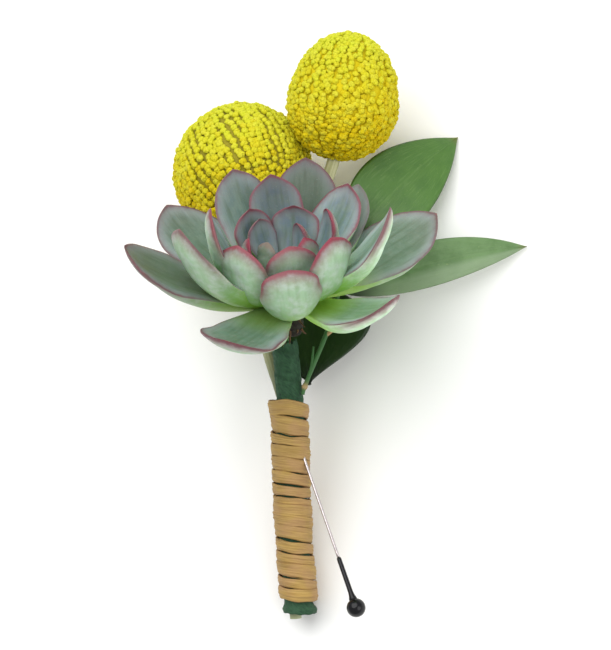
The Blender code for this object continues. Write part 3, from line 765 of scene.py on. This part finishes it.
def cluster_rows(side):
    """Directions and sizes of the floret clusters, in rows that fan out from one pole to the other."""
    _, radius, crown, _, _, pole, rows, stray, _ = HEADS[side]
    pole = Vector(pole).normalized()
    first = pole.orthogonal().normalized()
    second = pole.cross(first)
    clusters = []
    for row in range(rows):
        begin = ROW_STARTS[row % 4] + CHANCE.uniform(-3, 3)
        angle = begin + CHANCE.uniform(0, 3)
        stop = 180 - begin
        bearing = 2 * math.pi * row / rows
        while angle < stop:
            polar = math.radians(angle)
            sway = 0.10 * math.sin(polar * 2 + row) * 0.4 + 0.16 * math.cos(polar)
            turn = bearing + sway + CHANCE.gauss(0, stray)
            sideways = first * math.cos(turn) + second * math.sin(turn)
            spot = pole * math.cos(polar) + sideways * math.sin(polar)
            gap = 2 * math.pi * radius * math.sin(polar) / rows
            off_pole = min(angle, 180 - angle)
            if off_pole < ROW_STARTS[1]:
                gap *= 2 if off_pole > ROW_STARTS[2] else 4
            clusters.append((*spot, min(1.55, 0.50 + 0.46 * gap)))
            angle += math.degrees(CLUSTER_STEP / (radius * crown)) * CHANCE.uniform(0.85, 1.15)
    return np.array(clusters)


def floret_faces(count):
    """Faces of so many florets: from the root up to the rim, in to the crown, and up to the tip."""
    lobes = FLORET_SIDES
    pattern = []
    for i in range(lobes):
        j = (i + 1) % lobes
        pattern.append((i, j, lobes + j, lobes + i))
        pattern.append((lobes + i, lobes + j, 2 * lobes + j, 2 * lobes + i))
        pattern.append((2 * lobes + i, 2 * lobes + j, 3 * lobes))
    each = 3 * lobes + 1
    starts = range(0, count * each, each)
    return [tuple(start + i for i in face) for start in starts for face in pattern]


def build_head(side, look):
    """A craspedia head's clusters of tiny five-lobed florets, budded at the crown and open below."""
    clusters = cluster_rows(side)
    directions, size = clusters[:, :3], clusters[:, 3]
    stem_top = np.array(HEAD_STEMS[side][1][0])
    points, _ = on_head(side, directions, 0.0)
    clear = np.linalg.norm(points - stem_top, axis=1) > BARE_ROUND_STEM
    directions, size = directions[clear], size[clear]
    count = len(directions)

    spin = FINE.uniform(0, 2 * math.pi, count)
    tone = FINE.uniform(0, 1, count)
    lift = FINE.normal(-0.05, 0.17, count)
    points, outward = on_head(side, directions, lift)
    # Ripeness runs from the crown, pale and budded, to the foot, golden and open.
    heading = (directions @ head_turn(side).T) @ np.array((-0.15, 0.95, 0.1))
    ripe = np.clip(0.62 - 0.62 * heading + FINE.normal(0, 0.08, count), 0, 1)

    first = unit(np.cross(outward, (0.2, 0.1, 0.97)))
    second = np.cross(outward, first)
    around = np.linspace(0, 2 * math.pi, FLORET_SIDES, endpoint=False)
    steady_rise = np.repeat((0.0, 0.85, 1.0), (FLORET_SIDES, FLORET_SIDES, FLORET_SIDES + 1))
    florets, rises, tones, ripes = [], [], [], []
    for i in range(FLORETS_TO_A_CLUSTER):
        angle = spin + 2 * math.pi * i / FLORETS_TO_A_CLUSTER + FINE.normal(0, 0.15, count)
        away = first * np.cos(angle)[:, None] + second * np.sin(angle)[:, None]
        axis = unit(outward + away * FINE.uniform(0.28, 0.5, count)[:, None])
        reach = 0.36 * size
        drop = FINE.uniform(-0.18, 0.12, count)
        middle = points + away * reach[:, None] + outward * drop[:, None]
        one = unit(np.cross(axis, (0.9, 0.1, 0.2)))
        two = np.cross(axis, one)
        wide = (0.50 * size * FINE.uniform(0.85, 1.15, count))[:, None, None]
        turn = FINE.uniform(0, 2 * math.pi, count)[:, None] + around
        lobes = one[:, None] * np.cos(turn)[..., None] + two[:, None] * np.sin(turn)[..., None]
        opened = np.clip(ripe + FINE.normal(0, 0.25, count), 0, 1)[:, None, None]
        middle, up = middle[:, None], axis[:, None]
        root = middle + lobes * wide * 0.6 - up * FLORET_ROOT
        rim = middle + lobes * wide * (1.0 + 0.12 * opened) - up * (0.34 * (1 - opened) + 0.04)
        crown = middle + lobes * wide * (0.62 - 0.2 * opened) + up * (0.02 * opened)
        tip = middle + up * (0.15 - 0.30 * opened)
        florets.append(np.concatenate([root, rim, crown, tip], 1))
        rise = np.repeat(steady_rise[None], count, 0)
        rise[:, -1] -= 0.45 * opened[:, 0, 0]
        rises.append(rise)
        mixed = np.clip(tone + FINE.normal(0, 0.18, count), 0, 1)
        tones.append(np.repeat(mixed[:, None], rise.shape[1], 1))
        ripes.append(np.repeat(ripe[:, None], rise.shape[1], 1))
    florets = np.concatenate(florets)
    points = florets.reshape(-1, 3)
    fields = {
        "rise": np.concatenate(rises).ravel(),
        "tone": np.concatenate(tones).ravel(),
        "ripe": np.concatenate(ripes).ravel(),
        # How far the painted shade at the florets' roots is lifted to yellow.
        "full": np.full(len(points), HEADS[side][8]),
    }
    faces = floret_faces(len(florets))
    solid = "craspedia_head_" + side
    make_piece("craspedia_florets_" + side, points, faces, look, [solid], fields)


def build_receptacle(side, look):
    """The rough ball under a head's florets."""
    ball = bmesh.new()
    bmesh.ops.create_icosphere(ball, subdivisions=5, radius=1.0)
    spots = np.array([vert.co.normalized() for vert in ball.verts])
    faces = [[vert.index for vert in face.verts] for face in ball.faces]
    ball.free()
    points, _ = on_head(side, spots, ripple(spots, 14.0) * 0.3 - RECEPTACLE_DEPTH)
    # How far the painted shade in the gaps is lifted to yellow.
    fields = {"full": np.full(len(points), HEADS[side][8])}
    solid = "craspedia_head_" + side
    make_piece("craspedia_receptacle_" + side, points, faces, look, [solid], fields)


def build_head_stem(side, look):
    """A head's downy stem, pale where it is cut across and darker low down."""
    sides = 24
    path, spread = smooth_path(HEAD_STEMS[side], 12)
    points, faces, fields = rod(path, spread, sides, 0.05, 5.0)
    fields["cut_end"] = np.zeros(len(points))
    fields["cut_end"][-1] = 1.0
    fields["cut_end"][-2 - sides:-2] = 0.6
    fields["low"] = np.clip((18 - points[:, 1]) / 14, 0, 1)
    solid = "craspedia_stem_" + side
    make_piece("downy_stem_" + side, points, faces, look, [solid], fields)


def build_ruscus_leaf(name, look):
    """A thin pointed blade: a shallow trough along its midrib, with fine veins running its length."""
    (base, middle, tip), width, turn, broad, pointed, dark, pale = RUSCUS[name]
    base, middle, tip = (np.array(point) for point in (base, middle, tip))
    rows, columns = RUSCUS_STATIONS, RUSCUS_ACROSS
    s = np.linspace(0, 1, rows)
    centre = (
        base * ((1 - s) ** 2)[:, None] + (middle * 2 - (base + tip) / 2) * (2 * s * (1 - s))[:, None]
        + tip * (s * s)[:, None]
    )
    forward = Vector(tip - base).normalized()
    side = Matrix.Rotation(math.radians(turn), 3, forward) @ Vector((0, 0, 1)).cross(forward).normalized()
    up = np.array(forward.cross(side))
    side = np.array(side)
    half = width / 2 * np.maximum(0.035, np.sin(math.pi * np.minimum(s, 0.9999) ** broad) ** pointed)
    half = half * (1 - 0.55 * np.exp(-(1 - s) / 0.05))
    half[-1] = 0.05
    u = np.linspace(-1, 1, columns)
    vein = np.sin(u * 26) * 0.03 * (1 - np.abs(u))
    rib = -0.10 * np.exp(-(u / 0.05) ** 2)
    rise = half[:, None] * 0.10 * np.abs(u) + 0.15 * np.sin(s * 11 + 2)[:, None] * np.abs(u) ** 2 + vein + rib
    thick = RUSCUS_THICKNESS / 2 * (1 - 0.7 * np.abs(u) ** 4)[None, :] * np.ones((rows, 1))
    spread = centre[:, None] + side * (half[:, None] * u)[..., None]
    top = spread + up * (rise + thick)[..., None]
    under = spread + up * (rise - thick)[..., None]
    rings = np.concatenate([top, under[:, ::-1][:, 1:-1]], 1)
    rings[:, 0] = (top[:, 0] + under[:, 0]) / 2
    rings[:, columns - 1] = (top[:, -1] + under[:, -1]) / 2
    around = rings.shape[1]
    points = rings.reshape(-1, 3)
    all_u = np.concatenate([u, u[::-1][1:-1]])
    below = np.concatenate([np.zeros(columns), np.ones(columns - 2)])
    below[[0, columns - 1]] = 0.5
    length = np.repeat(s * np.linalg.norm(tip - base), around)
    fields = {
        "across": np.tile(all_u, rows),
        "along": np.repeat(s, around),
        "under": np.tile(below, rows),
        "veins": np.column_stack([length, np.tile(all_u, rows), np.full(len(points), 3.0)]),
        # A blade's age field holds its painted shade.
        "age": np.full(len(points), dark),
        "pale": np.full(len(points), pale),
    }
    faces = tube_faces(rows, around)
    make_piece("ruscus_blade_" + name, points, faces, look, ["ruscus_leaf_" + name], fields)


def build_twig(look):
    """The ruscus stalk, swollen where leaves join it, with two short side shoots."""
    path, spread = smooth_path(TWIG, 12)
    along = np.linspace(0, 1, len(path))
    knots = np.zeros(len(path))
    for joint, swell in TWIG_JOINTS:
        near = np.exp(-((along - joint) / 0.03) ** 2)
        spread = spread * (1 + swell * near)
        knots += near
    points, faces, fields = rod(path, spread, TWIG_SIDES, 0.06, 8.0)
    fields["knot"] = np.append(np.repeat(np.clip(knots, 0, 1), TWIG_SIDES), [0.0, 0.0])
    parts = [(points, faces, fields)]
    for number, shoot in enumerate(TWIG_SHOOTS):
        path, spread = smooth_path(shoot, 6)
        points, faces, fields = rod(path, spread, 12, 0.1, number)
        fields["knot"] = np.full(len(points), float(number))
        parts.append((points, faces, fields))
    points, faces, fields = join_parts(parts)
    make_piece("ruscus_stalk", points, faces, look, ["ruscus_twig"], fields)


def stem_axis(y):
    """How far sideways the stem's middle lies at a place along it."""
    return np.where(y > 0, STEM_LEAN_TOP * y / TAPE_TOP, STEM_LEAN_END * (y / TAPE_END) ** 2)


def build_tape(look):
    """The taped stem: a spiral of crepe tape with raised laps, ragged at the top and cut open at the end."""
    rows, columns = TAPE_STATIONS, TAPE_AROUND
    turn = np.linspace(0, 2 * math.pi, columns, endpoint=False)
    s = np.linspace(0, 1, rows)[:, None]
    ragged = TAPE_TOP + 0.5 * np.sin(turn * 3 + 0.6) + 0.45 * np.sin(turn * 7 + 2.0) + 0.3 * np.sin(turn * 17)
    torn = TAPE_END + 0.16 * np.sin(turn * 2 + 1.0) + 0.07 * np.sin(turn * 11)
    y = torn + (ragged - torn) * s
    places = [place for place, _ in TAPE_OUTSIDE]
    radii = [radius for _, radius in TAPE_OUTSIDE]
    radius = np.interp(y, places, radii)
    lap = ((y / TAPE_PITCH + turn / (2 * math.pi)) % 1.0)
    step = TAPE_LAP * lap
    shape = np.stack([np.cos(turn) * np.ones_like(y), y * 0.4, np.sin(turn) * np.ones_like(y)], -1)
    crinkle = ripple(shape.reshape(-1, 3), 3.2).reshape(y.shape) * 0.16
    pleat = 0.05 * np.sin(turn * 31 + y * 2.1)
    outer = radius + step - TAPE_LAP / 2 + crinkle + pleat
    inner = radius - TAPE_WALL + crinkle * 0.5

    def around(spread, y):
        across = stem_axis(y) - np.cos(turn) * spread
        return np.stack([across, y, TAPE_HEIGHT + np.sin(turn) * spread], -1)

    points = np.concatenate([around(outer, y), around(inner, y)[::-1]]).reshape(-1, 3)
    faces = ring_faces(2 * rows, columns)
    last = (2 * rows - 1) * columns
    for i in range(columns):
        j = (i + 1) % columns
        faces.append((last + i, last + j, j, i))
    y_all = np.concatenate([y, y[::-1]])
    slope = np.concatenate([lap, lap[::-1]])
    run = turn * 3.3 * np.ones_like(y_all)
    fields = {
        # Where painted shade falls: along each lap's step, and over the inner wall.
        "lap": np.clip(1 - np.minimum(slope, 1 - slope) * 12, 0, 1).ravel(),
        "inside": np.concatenate([np.zeros(rows * columns), np.ones(rows * columns)]),
        "blade": np.stack([y_all, run * 0.5 + y_all * 0.6, np.zeros_like(y_all)], -1).reshape(-1, 3),
    }
    make_piece("taped_stem", points, faces, look, ["floral_tape"], fields)


def build_raffia(look):
    """One long flat strand of raffia wound round the stem, in uneven turns with open seams between some."""
    turns = len(RAFFIA_TURNS) - 1
    t = np.linspace(-0.5, turns + 0.5, (turns + 1) * RAFFIA_STATIONS_TO_A_TURN + 1)
    centres = np.interp(t, range(turns + 1), [centre for centre, _ in RAFFIA_TURNS])
    widths = np.interp(t, range(turns + 1), [width for _, width in RAFFIA_TURNS])
    columns = RAFFIA_ACROSS
    v = np.linspace(-1, 1, columns)
    angle = math.pi / 2 - 2 * math.pi * t

    def drift(pace, seed):
        return ripple(np.column_stack([t * pace, t * 0, t * 0]), 1.0, seed)

    wander = drift(1.3, 2.0) * 0.35
    half = widths / 2 * 1.03 * (1 + drift(2.1, 9.0) * 0.22)
    upper_edge = 0.16 * drift(7.0, 12.0)[:, None] * np.clip(v, 0, 1) ** 3
    lower_edge = 0.16 * drift(7.0, 15.0)[:, None] * np.clip(-v, 0, 1) ** 3
    y = centres[:, None] + wander[:, None] * 0.6 + half[:, None] * v * 1.03 + (upper_edge + lower_edge) * 2.4
    flat = np.zeros(len(t) * columns)
    where = np.column_stack([np.repeat(t * 2.2, columns), np.tile(v * 2.4, len(t)), flat])
    crease = ripple(where, 1.0, 4.0).reshape(len(t), columns)
    pucker = ripple(where * (3.4, 1.6, 1), 1.0, 6.0).reshape(len(t), columns)
    ridge = ripple(where * (0.5, 2.4, 1), 1.0, 8.0).reshape(len(t), columns)
    fold = 0.10 * (1 - np.abs(v) ** 2.5) + 0.16 * crease + 0.07 * pucker + 0.13 * ridge + 0.10 * v
    heights = np.interp(t, range(turns + 1), [CHANCE.uniform(-0.24, 0.16) for _ in RAFFIA_TURNS])
    rise = fold + heights[:, None] + 0.12 * drift(1.9, 1.0)[:, None]
    rise = rise - 0.22 * np.abs(v) ** 10

    def wound(lift):
        open_out = np.clip((y - WRAP_FLARE_START) / (0.7 - WRAP_FLARE_START), 0, 1)
        swell = 1 + WRAP_FLARE * open_out
        wide = (WRAP_HALF_WIDTH - RAFFIA_INSET) * swell + lift
        deep = (WRAP_HALF_DEPTH - RAFFIA_INSET) * swell + lift
        across = stem_axis(y) + WRAP_SHIFT * open_out + np.cos(angle)[:, None] * wide
        return np.stack([across, y, WRAP_HEIGHT + np.sin(angle)[:, None] * deep], -1)

    outer = wound(rise)
    inner = wound(rise - RAFFIA_THICKNESS)
    rings = np.concatenate([outer, inner[:, ::-1]], 1)
    around = rings.shape[1]
    all_v = np.concatenate([v, v[::-1]])
    # The fibres' pattern starts afresh on each turn, at the back of the stem.
    length = np.repeat(t * (2 * math.pi * RAFFIA_MEAN_RADIUS), around)
    turn_number = np.repeat(np.floor(t + 0.5), around)
    fields = {
        "fibre": np.column_stack([length, (half[:, None] * all_v).ravel(), turn_number * 2.3]),
        # The edge field also places painted shade in the seams between turns.
        "edge": np.tile(np.abs(all_v), len(t)),
    }
    faces = tube_faces(len(t), around)
    make_piece("raffia_winding", rings.reshape(-1, 3), faces, look, ["raffia_wrap"], fields)
    build_hairs(outer, inner, look)


def build_hairs(outer, inner, look):
    """Loose hairs of fibre that have lifted along the strand's edges."""
    stations, columns = outer.shape[:2]
    turns = len(RAFFIA_TURNS) - 1
    parts = []
    for _ in range(RAFFIA_HAIRS):
        turn = CHANCE.uniform(0.2, turns - 0.2)
        row = int((turn + 0.5) * RAFFIA_STATIONS_TO_A_TURN)
        edge = columns - 1 if CHANCE.random() < 0.5 else 0
        reach = CHANCE.randint(5, 13)
        knots = []
        for i in range(5):
            at = min(stations - 1, row + i * reach // 4)
            lift = 0.25 + 0.16 * math.sin(math.pi * i / 4) * CHANCE.uniform(0.6, 1.6)
            spot = outer[at, edge] + (outer[at, columns // 2] - inner[at, columns // 2]) * lift
            knots.append((spot + np.array([0, CHANCE.uniform(-0.12, 0.12), 0]), HAIR_RADIUS))
        path, spread = smooth_path(knots, 4)
        points, faces, fields = rod(path, spread, 6)
        fields["fibre"] = fields.pop("blade")
        fields["edge"] = np.full(len(points), 0.3)
        parts.append((points, faces, fields))
    points, faces, fields = join_parts(parts)
    make_piece("raffia_hairs", points, faces, look, [], fields)


def build_wire(look):
    """The thin green wire from the rosette's stub into the tape."""
    path, spread = smooth_path([(point, WIRE_RADIUS) for point in WIRE], 12)
    points, faces, fields = rod(path, spread, 16, 0.03, 1.0)
    make_piece("rosette_wire", points, faces, look, ["succulent_wire"], fields)


def build_pin(steel, bead):
    """A round-headed pin, pushed up under the raffia: bright needle, dark neck, glossy bead."""
    line = (PIN_POINT - PIN_HEAD).normalized()
    length = (PIN_POINT - PIN_HEAD).length
    start, ahead = np.array(PIN_HEAD), np.array(line)
    body, taper = np.linspace(13.5, length - PIN_TAPER, 12), np.linspace(length - 3.6, length, 6)
    heights = [PIN_NECK[-1][0] + 0.02, *body, *taper]
    spread = [PIN_RADIUS * min(1.0, max(0.05, (length - height) / PIN_TAPER)) for height in heights]
    points, faces, fields = rod(start + ahead * np.array(heights)[:, None], np.array(spread), 24)
    make_piece("pin_needle", points, faces, steel, ["pin_shank"], fields)
    angles = np.radians(np.linspace(-89, 66, 30))
    profile = [(PIN_HEAD_RADIUS * math.sin(angle), PIN_HEAD_RADIUS * math.cos(angle)) for angle in angles]
    profile += list(PIN_NECK)
    heights = np.array([height for height, _ in profile])
    spread = np.array([radius for _, radius in profile])
    points, faces, fields = rod(start + ahead * heights[:, None], spread, 40)
    make_piece("pin_bead", points, faces, bead, ["pin_head"], fields)


def set_floor(look):
    mesh = bpy.data.meshes.new("table")
    corners = [(-1, -1), (1, -1), (1, 1), (-1, 1)]
    points = [(x * TABLE_REACH, y * TABLE_REACH, -TABLE_DROP) for x, y in corners]
    mesh.from_pydata(points, [], [(0, 1, 2, 3)])
    mesh.materials.append(look)
    table = bpy.data.objects.new("table", mesh)
    bpy.context.scene.collection.objects.link(table)


def set_lights():
    world = bpy.data.worlds.new("studio")
    bpy.context.scene.world = world
    world.use_nodes = True
    sky = world.node_tree.nodes["Background"]
    sky.inputs["Color"].default_value = (1.0, 1.0, 1.0, 1.0)
    sky.inputs["Strength"].default_value = SKY_STRENGTH
    middle = lay([LAMPS_AIM])[0]
    for name, toward, distance, size, power in LAMPS:
        direction = TURN @ np.array(toward)
        direction /= np.linalg.norm(direction)
        light = bpy.data.lights.new(name, "AREA")
        light.shape = "DISK"
        light.size = size
        light.energy = power
        lamp = bpy.data.objects.new(name, light)
        lamp.location = Vector(middle + direction * distance)
        lamp.rotation_mode = "QUATERNION"
        lamp.rotation_quaternion = Vector(direction).to_track_quat("Z", "Y")
        bpy.context.scene.collection.objects.link(lamp)


def set_camera():
    """Looks at the middle of the boutonniere along the layout's Z, with the stem pointing down."""
    data = bpy.data.cameras.new("camera")
    data.sensor_fit = "HORIZONTAL"
    data.sensor_width = SENSOR_WIDTH
    data.lens = SENSOR_WIDTH * CAMERA_HEIGHT / CAMERA_TAKES_IN
    data.clip_start = 0.05
    data.clip_end = 20.0
    camera = bpy.data.objects.new("camera", data)
    bpy.context.scene.collection.objects.link(camera)
    at, look = lay([(0.0, 0.0, CAMERA_HEIGHT), CAMERA_AIM])
    back = Vector(at - look).normalized()
    top = Vector(TURN @ np.array((0.0, 1.0, 0.0)))
    right = top.cross(back).normalized()
    basis = Matrix((right, back.cross(right), back)).transposed().to_4x4()
    camera.matrix_world = Matrix.Translation(Vector(at)) @ basis
    bpy.context.scene.camera = camera


bpy.context.scene.view_settings.view_transform = "Standard"
succulent = paint_succulent()
for number, row in enumerate(LEAVES, 1):
    build_leaf(number, row, succulent)
build_core(paint_core())
build_husks(paint_husk())
florets, receptacle, stem_skin = paint_craspedia(), paint_craspedia_body(), paint_head_stem()
for side in HEADS:
    build_head(side, florets)
    build_receptacle(side, receptacle)
    build_head_stem(side, stem_skin)
ruscus = paint_ruscus()
for name in RUSCUS:
    build_ruscus_leaf(name, ruscus)
build_twig(paint_twig())
build_tape(paint_tape())
build_raffia(paint_raffia())
build_wire(paint_wire())
build_pin(paint_steel(), paint_bead())
set_floor(paint_floor())
set_lights()
set_camera()
